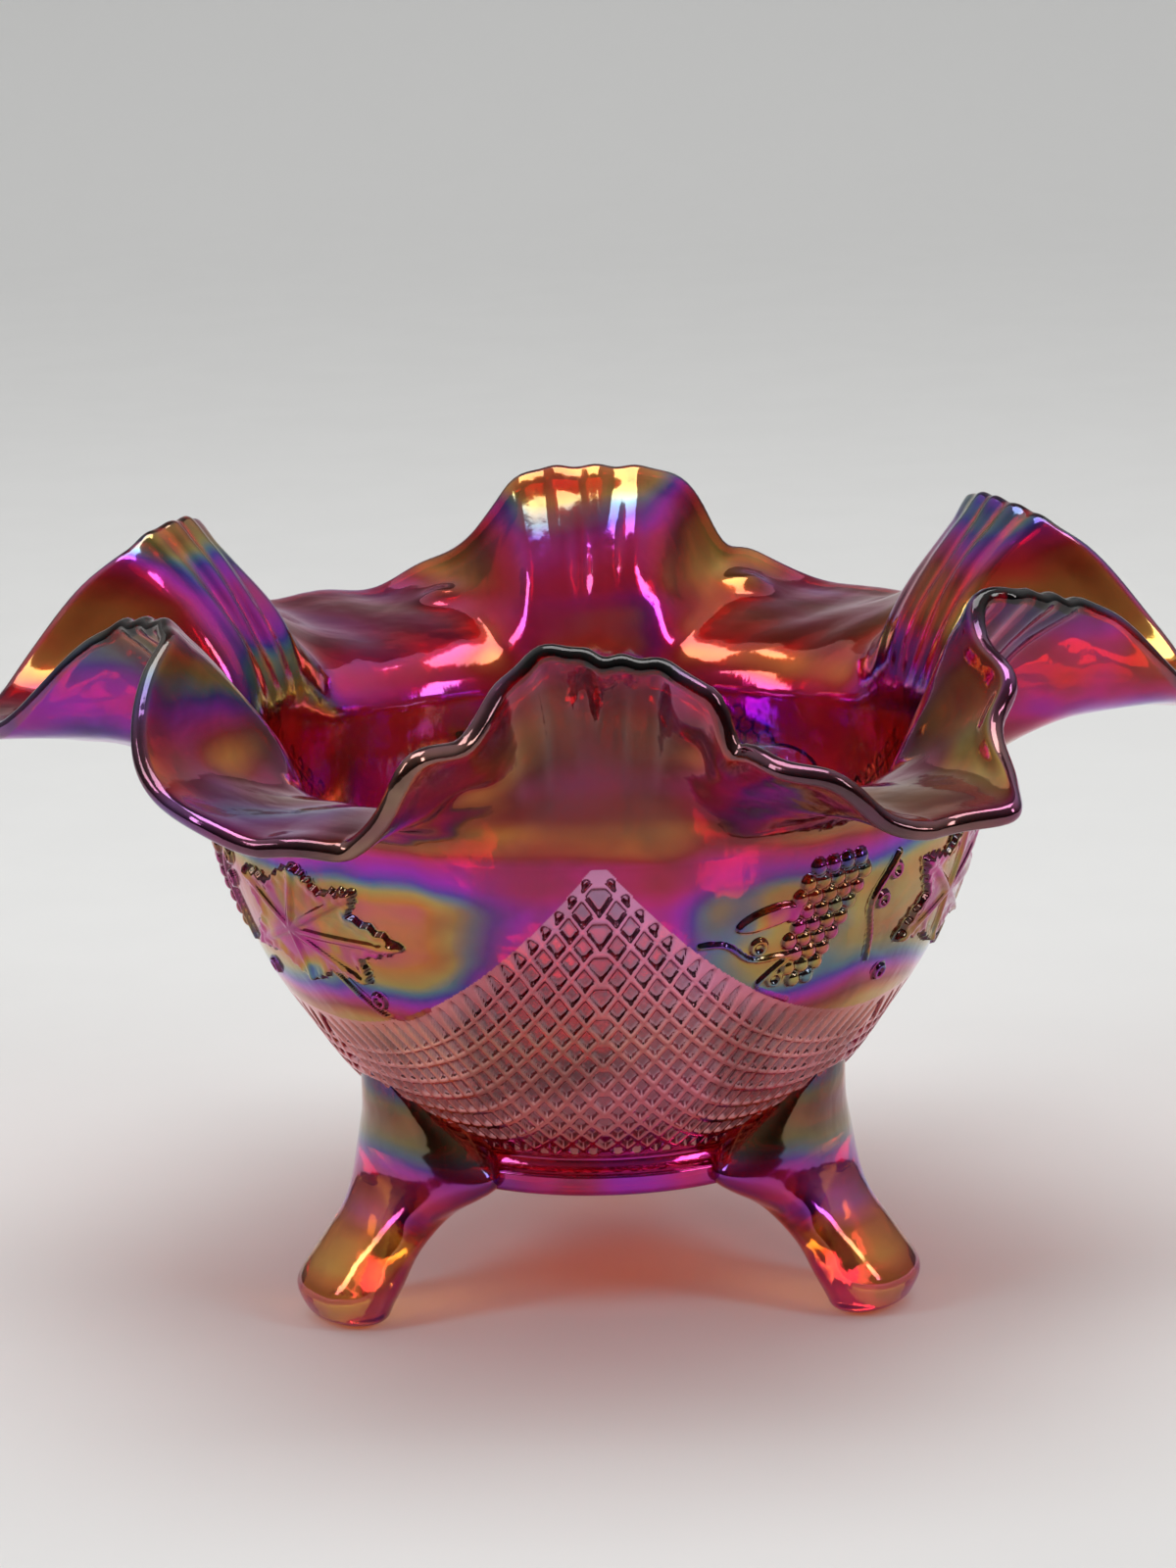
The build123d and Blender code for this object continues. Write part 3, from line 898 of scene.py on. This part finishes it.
ISLAND_SIDES = (7.0, 30.0)  # azimuths from a fan's peak between which an island grows
ISLAND_LOW = (0.056, 0.074)
ISLAND_HIGH = (0.096, 0.084)
PATCH_GRAIN, PATCHES = 38.0, (0.36, 0.58, 0.5, 1.0)  # thinner and fuller patches of the coat
CREST_SHADE = 0.88  # painted shade: how much of the coat is taken away on the outside of the crests, leaving dark ruby
# azimuths and heights between which that painted shade grows
CREST_SHADE_SIDES, CREST_SHADE_HEIGHTS = (14.0, 6.0), (0.084, 0.096)
FINE_GRAIN, SLOW_GRAIN = 420.0, 55.0  # of the glass's uneven surface

# Colours of the glass itself, and of the light that passes through it to the floor
RUBY = (0.46, 0.01, 0.012)
LIGHT_RUBY = (0.54, 0.02, 0.02)
AMBER = (0.98, 0.52, 0.08)
FOOT_RUBY = (0.55, 0.04, 0.015)
GLASS_TURNS = (0.012, 0.026)  # heights between which the feet turn to ruby
RUBY_SHADE = (0.44, 0.15, 0.13, 1.0)
RIM_SHADE = (0.64, 0.60, 0.59, 1.0)
AMBER_SHADE = (0.82, 0.45, 0.25, 1.0)


class Nodes:
    """Short ways to add nodes to a material or a world."""

    def __init__(self, owner):
        owner.use_nodes = True
        self.tree = owner.node_tree
        self.tree.nodes.clear()

    def add(self, kind, inputs=(), **settings):
        """Node of a kind, with its inputs given as {name or number: value or socket}."""
        node = self.tree.nodes.new(kind)
        for name, value in settings.items():
            setattr(node, name, value)
        for name, value in dict(inputs).items():
            if isinstance(value, bpy.types.NodeSocket):
                self.tree.links.new(value, node.inputs[name])
            else:
                node.inputs[name].default_value = value
        return node

    def math(self, operation, a, b=0.0, c=0.0):
        """Result of an operation on up to three values."""
        inputs = {0: a, 1: b, 2: c}
        return self.add("ShaderNodeMath", inputs, operation=operation).outputs[0]

    def vector(self, operation, a, b=(0, 0, 0), result="Vector"):
        """Result of an operation on one or two vectors."""
        node = self.add("ShaderNodeVectorMath", {0: a, 1: b}, operation=operation)
        return node.outputs[result]

    def split(self, place):
        """The three coordinates of a place."""
        return self.add("ShaderNodeSeparateXYZ", {0: place}).outputs

    def note(self, name):
        """What the vertices carry under one of the names in NOTES."""
        return self.add("ShaderNodeAttribute", attribute_name=name).outputs["Fac"]

    def facing(self, power):
        """0 where the surface is seen straight on and 1 where it is seen edge on."""
        facing = self.add("ShaderNodeLayerWeight", {"Blend": 0.5}).outputs["Facing"]
        return self.math("POWER", facing, power)

    def noise(self, place, scale, detail=2.0, distortion=0.0):
        """Noise from 0 to 1."""
        inputs = {"Vector": place, "Scale": scale, "Detail": detail, "Distortion": distortion}
        return self.add("ShaderNodeTexNoise", inputs).outputs["Fac"]

    def span(self, value, low, high, to_low=0.0, to_high=1.0):
        """Value moved from one range to another, with smooth ends."""
        inputs = {"Value": value, "From Min": low, "From Max": high}
        inputs |= {"To Min": to_low, "To Max": to_high}
        node = self.add("ShaderNodeMapRange", inputs, interpolation_type="SMOOTHSTEP")
        return node.outputs[0]

    def mix(self, factor, a, b):
        """Mix of two colours."""
        node = self.add("ShaderNodeMix", {"Factor": factor}, data_type="RGBA")
        for socket, value in ((node.inputs[6], a), (node.inputs[7], b)):
            if isinstance(value, bpy.types.NodeSocket):
                self.tree.links.new(value, socket)
            else:
                socket.default_value = (*value, 1.0)
        return node.outputs[2]

    def ramp(self, value, stops):
        """Colour for a value from 0 to 1, from stops of (value, colour)."""
        ramp = self.add("ShaderNodeValToRGB", {0: value})
        elements = ramp.color_ramp.elements
        while len(elements) < len(stops):
            elements.new(0.5)
        for element, (position, color) in zip(elements, stops):
            element.position = position
            element.color = (*color, 1.0)
        return ramp.outputs[0]


def from_height(n, place, stops):
    """Value that follows the height, from stops of (height in millimetres, value)."""
    height = n.math("DIVIDE", n.split(place)[2], FILM_TOP * MM)
    greys = [(level / FILM_TOP, (value, value, value)) for level, value in stops]
    return n.ramp(height, greys)


def azimuth_at(n, place):
    """Azimuth from the front, in degrees."""
    split = n.split(place)
    turn = n.math("ARCTAN2", split[0], n.math("MULTIPLY", split[1], -1.0))
    return n.math("MULTIPLY", turn, 180 / math.pi)


def level_part(n, place):
    """A place moved down to the floor."""
    return n.vector("MULTIPLY", place, (1.0, 1.0, 0.0))


def panel_islands(n, place):
    """1 in the middle of each relief panel and 0 on the net's fans and on the flare."""
    aside = n.span(n.math("PINGPONG", azimuth_at(n, place), HALF_FAN), *ISLAND_SIDES)
    height = n.math("MULTIPLY_ADD", n.noise(place, 30.0), 0.012, n.split(place)[2])
    level = n.math("MULTIPLY", n.span(height, *ISLAND_LOW), n.span(height, *ISLAND_HIGH))
    return n.math("MULTIPLY", aside, level)


def near_crest(n, place, outer, inner):
    """1 within some degrees of each crest of the rim, and 0 outside more degrees."""
    aside = n.math("PINGPONG", azimuth_at(n, place), RUFFLE_PITCH / 2)
    return n.span(aside, outer, inner)


def facing_inwards(n, place):
    """1 where the surface faces the bowl's axis and 0 where it faces outwards."""
    away = n.vector("NORMALIZE", level_part(n, place))
    normal = n.add("ShaderNodeNewGeometry").outputs["Normal"]
    return n.span(n.vector("DOT_PRODUCT", normal, away, "Value"), 0.15, -0.15)


def film_thickness(n, place, inside, levels, island, blotch, band, edge=0.2, grain=22.0):
    """Thickness of the coat's film: by height, more on the panels, in blotches and in bands."""
    from_axis = n.vector("LENGTH", level_part(n, place), result="Value")
    off_axis = n.span(from_axis, *COLUMN_REACH)
    blotches = n.math("SUBTRACT", n.noise(place, grain, 2.0, 0.6), 0.5)
    upright = n.vector("MULTIPLY", place, (0.0, 0.0, BAND_STRETCH))
    bands = n.math("SUBTRACT", n.noise(upright, 1.0, 3.0, 0.4), 0.5)
    bands = n.math("MULTIPLY", bands, off_axis)
    total = n.math("MULTIPLY_ADD", panel_islands(n, place), island, from_height(n, place, levels))
    change = n.math("SUBTRACT", from_height(n, place, INSIDE_FILM), total)
    total = n.math("MULTIPLY_ADD", inside, change, total)
    total = n.math("MULTIPLY_ADD", blotches, blotch, total)
    total = n.math("MULTIPLY_ADD", bands, band, total)
    total = n.math("MULTIPLY_ADD", n.note("raised"), RAISED_FILM, total)
    column = n.math("MULTIPLY", near_crest(n, place, *COLUMN_SIDES), COLUMN_FILM)
    column = n.math("MULTIPLY", column, off_axis)
    right = n.math("MAXIMUM", n.split(place)[0], 0.0)
    drift = n.math("MULTIPLY_ADD", right, INSIDE_DRIFT, column)
    total = n.math("MULTIPLY_ADD", inside, drift, total)
    return n.math("MULTIPLY_ADD", n.facing(2.0), edge, total)


def coat_share(n, place, inside, full):
    """How much of the glass the coat covers: patchy, and thinned on the crests' outside as
    painted shade.
    """
    patches = n.span(n.noise(place, PATCH_GRAIN, 3.0, 0.8), *PATCHES)
    crest = n.span(n.split(place)[2], *CREST_SHADE_HEIGHTS)
    crest = n.math("MULTIPLY", near_crest(n, place, *CREST_SHADE_SIDES), crest)
    # painted shade: the coat thinned on the crests' outside
    crest = n.math("MULTIPLY", crest, n.math("SUBTRACT", 1.0, inside))
    unshaded = n.math("MULTIPLY_ADD", crest, -CREST_SHADE, 1.0)
    return n.math("MULTIPLY", n.math("MULTIPLY", patches, unshaded), full)


def glass_bump(n, place):
    """Fine grain and the slow unevenness of hand-worked glass."""
    fine = n.noise(n.vector("MULTIPLY", place, (1.0, 1.0, 0.3)), FINE_GRAIN, 4.0)
    slow = n.noise(place, SLOW_GRAIN, 3.0, 0.4)
    grain = {"Strength": 0.1, "Distance": 0.0005, "Height": fine}
    grain = n.add("ShaderNodeBump", grain).outputs[0]
    waves = {"Strength": 0.4, "Distance": 0.0014, "Height": slow, "Normal": grain}
    return n.add("ShaderNodeBump", waves).outputs[0]


def coat_color(n, place, inside, film, frost, frosting, dark_shade):
    """Colour of the coat: its sheen, paler edge on, and painted shade: greyer in hollows, dark on
    steep slopes.
    """
    sheen = n.ramp(film_thickness(n, place, inside, **film), SHEEN)
    sheen = n.mix(n.math("MULTIPLY_ADD", n.facing(4.0), PALE_SHARE, frost), sheen, frosting)
    # painted shade: the hollows' greyer sheen, then the near-black shade on slopes
    sheen = n.mix(n.math("MULTIPLY", n.note("hollow_shade"), HOLLOW_SHADE_SHARE), sheen, HOLLOW_SHADE_SHEEN)
    return n.mix(n.math("MULTIPLY", dark_shade, DARK_SHADE_SHARE), sheen, DARK_SHADE_SHEEN)


def carnival_glass(
    name, colors, shade, film, coat=0.5, frost=0.0, dark_from=0.4, frosting=PALE_SHEEN
):
    """Coloured glass under an iridescent coat; its shadow is tinted light."""
    material = bpy.data.materials.new(name)
    n = Nodes(material)
    place = n.add("ShaderNodeTexCoord").outputs["Object"]
    normal = glass_bump(n, place)
    inside = facing_inwards(n, place)
    # mask of the painted dark shade; the clear coat grows with it too
    dark_shade = n.span(n.note("dark_shade"), dark_from, 3.5 * dark_from)
    sheen = coat_color(n, place, inside, film, frost, frosting, dark_shade)
    color = n.mix(n.span(n.split(place)[2], *GLASS_TURNS), *colors)
    glass = {"Base Color": color, "Roughness": 0.04, "Transmission Weight": 1.0, "IOR": 1.5}
    glass = n.add("ShaderNodeBsdfPrincipled", glass | {"Normal": normal})
    skin = {"Base Color": sheen, "Roughness": 0.11, "Metallic": 1.0, "Normal": normal}
    skin |= {"Coat Weight": n.math("MULTIPLY_ADD", dark_shade, 0.5, 0.3), "Coat Roughness": 0.04}
    skin = n.add("ShaderNodeBsdfPrincipled", skin)
    fresnel = n.add("ShaderNodeFresnel", {"IOR": 1.8, "Normal": normal}).outputs[0]
    share = n.math("MULTIPLY_ADD", fresnel, 0.6, coat_share(n, place, inside, coat))
    # painted shade: less coat, so more dark ruby, in the hollows
    share = n.math("MULTIPLY_ADD", n.note("hollow_shade"), -0.15, share)
    share = n.math("MINIMUM", share, 0.95)
    coated = n.add("ShaderNodeMixShader", {0: share, 1: glass.outputs[0], 2: skin.outputs[0]})
    clear = n.add("ShaderNodeBsdfTransparent", {"Color": shade})
    shadow = n.add("ShaderNodeLightPath").outputs["Is Shadow Ray"]
    mixed = n.add("ShaderNodeMixShader", {0: shadow, 1: coated.outputs[0], 2: clear.outputs[0]})
    n.add("ShaderNodeOutputMaterial", {"Surface": mixed.outputs[0]})
    return material


def glass_materials():
    """Material of each section, by the first word of its name."""
    rubies, light_rubies = (RUBY, RUBY), (LIGHT_RUBY, LIGHT_RUBY)
    film = dict(levels=WALL_FILM, island=0.5, blotch=0.9, band=1.5)
    ruby = carnival_glass("ruby_glass", rubies, RUBY_SHADE, film)
    film = dict(levels=WALL_FILM, island=0.5, blotch=1.1, band=2.0)
    rim = carnival_glass("ruby_glass_rim", rubies, RIM_SHADE, film)
    film = dict(levels=WALL_FILM, island=0.5, blotch=1.2, band=1.2, grain=90.0)
    relief = carnival_glass("ruby_glass_relief", rubies, RUBY_SHADE, film)
    film = dict(levels=NET_FILM, island=0.0, blotch=0.5, band=0.6)
    frost = dict(coat=0.75, frost=0.6, dark_from=0.8, frosting=NET_SHEEN)
    net = carnival_glass("ruby_glass_net", light_rubies, RUBY_SHADE, film, **frost)
    film = dict(levels=FOOT_FILM, island=0.0, blotch=0.4, band=0.5, edge=0.08)
    amber = carnival_glass("amber_glass", (AMBER, FOOT_RUBY), AMBER_SHADE, film, coat=0.3)
    return {
        "bowl": ruby,
        "collar": ruby,
        "ruffled": rim,
        "grape": relief,
        "vine": relief,
        "diamond": net,
        "foot": amber,
    }


# ---- stage, in metres


PAPER = (0.80, 0.80, 0.79)
SHEET_FRONT, SHEET_HALF_WIDTH, SHEET_TOP = -0.5, 1.1, 5.0
SWEEP_START, SWEEP_RADIUS = 1.2, 1.2  # where the sheet starts to curve upwards behind the bowl
FAR_WALL = 0.74  # brightness of the room where the camera sees past the sheet
CAMERA_PLACE = (-0.0012, -0.9, 0.302)
CAMERA_LENS = 126.7
CAMERA_DIP, CAMERA_ROLL = 13.6, -1.6  # degrees below level, and of turn about the line of sight
SOFTBOXES = [  # (name, place, aim, width, height, watts)
    ("ceiling", (0.0, 0.1, 1.5), (0, 0, 0), 1.1, 0.8, 13),
    ("window_left", (-1.2, -0.6, 0.9), (0, 0, 0.08), 0.35, 0.9, 5.5),
    ("window_right", (1.2, -0.8, 0.9), (0, 0, 0.08), 0.3, 0.8, 5),
]


def paper_material():
    """Pale matt paper, with painted light a little lighter far behind the bowl and painted shade
    darker in front of it.
    """
    material = bpy.data.materials.new("backdrop_paper")
    n = Nodes(material)
    place = n.add("ShaderNodeTexCoord").outputs["Object"]
    fibres = n.span(n.noise(place, 30.0, 3.0), 0.3, 0.7)
    depth = n.split(place)[1]
    tint = n.mix(fibres, scaled(PAPER, 0.985), PAPER)
    # painted light: lighter far behind the bowl
    tint = n.mix(n.span(depth, 0.8, 1.7), tint, scaled(PAPER, 1.2))
    # painted shade: darker in front of the bowl
    tint = n.mix(n.span(depth, 0.4, -0.5), tint, scaled(PAPER, 0.86))
    surface = {"Base Color": tint, "Roughness": 0.6, "Specular IOR Level": 0.2}
    surface = n.add("ShaderNodeBsdfPrincipled", surface)
    n.add("ShaderNodeOutputMaterial", {"Surface": surface.outputs[0]})
    return material


def scaled(color, factor):
    """A colour made lighter or darker."""
    return tuple(part * factor for part in color)


def build_backdrop():
    """Pale sheet that lies under the bowl and sweeps up far behind it."""
    profile = [(SHEET_FRONT, 0.0)]
    for turn in np.linspace(0, math.pi / 2, 24):
        rise = SWEEP_RADIUS * (1 - math.cos(turn))
        profile.append((SWEEP_START + SWEEP_RADIUS * math.sin(turn), rise))
    profile.append((SWEEP_START + SWEEP_RADIUS, SHEET_TOP))
    sides = (-SHEET_HALF_WIDTH, SHEET_HALF_WIDTH)
    vertices = [(x, y, z) for y, z in profile for x in sides]
    faces = [(2 * k, 2 * k + 1, 2 * k + 3, 2 * k + 2) for k in range(len(profile) - 1)]
    mesh = bpy.data.meshes.new("backdrop")
    mesh.from_pydata(vertices, [], faces)
    mesh.shade_smooth()
    mesh.materials.append(paper_material())
    link("backdrop", mesh)


def add_camera():
    """Camera in front of the bowl, looking slightly down on it."""
    lens = bpy.data.cameras.new("camera")
    lens.sensor_width = 36
    lens.lens = CAMERA_LENS
    lens.clip_end = 50
    tilt = Euler((math.radians(90 - CAMERA_DIP), 0, 0)).to_matrix()
    roll = Matrix.Rotation(math.radians(CAMERA_ROLL), 3, "Z")
    camera = link("camera", lens)
    camera.matrix_world = Matrix.Translation(CAMERA_PLACE) @ (tilt @ roll).to_4x4()
    bpy.context.scene.camera = camera


def add_softbox(name, place, aim, width, height, watts):
    """Soft rectangular light that faces a point."""
    light = bpy.data.lights.new(name, "AREA")
    light.shape = "RECTANGLE"
    light.size, light.size_y = width, height
    light.energy = watts
    lamp = link(name, light)
    lamp.location = place
    lamp.rotation_euler = (Vector(aim) - Vector(place)).to_track_quat("-Z", "Y").to_euler()


def add_room():
    """Plain room around the bowl: lighter above, darker in front, even where it is seen."""
    world = bpy.data.worlds.new("studio")
    bpy.context.scene.world = world
    n = Nodes(world)
    direction = n.split(n.add("ShaderNodeTexCoord").outputs["Generated"])
    up = n.span(direction[2], 0.05, 0.75)
    front = n.span(direction[1], 0.3, -0.7)
    level = n.math("MULTIPLY_ADD", up, 0.5, 0.14)
    level = n.math("MULTIPLY", level, n.math("MULTIPLY_ADD", front, -0.75, 1.0))
    seen = n.add("ShaderNodeLightPath").outputs["Is Camera Ray"]
    level = n.math("MULTIPLY_ADD", seen, n.math("SUBTRACT", FAR_WALL, level), level)
    room = n.add("ShaderNodeBackground", {"Color": (1, 1, 1, 1), "Strength": level})
    n.add("ShaderNodeOutputWorld", {"Surface": room.outputs[0]})


def main():
    """Glass and stage."""
    materials = glass_materials()
    sections = cut_sections(join_feet(build_glass()))
    sections["ruffled_rim"] = build_rim()
    for name, mesh in sections.items():
        show(name, mesh, materials[name.split("_")[0]])
    build_backdrop()
    add_camera()
    add_room()
    for softbox in SOFTBOXES:
        add_softbox(*softbox)
    bpy.context.scene.view_settings.view_transform = "Standard"


main()
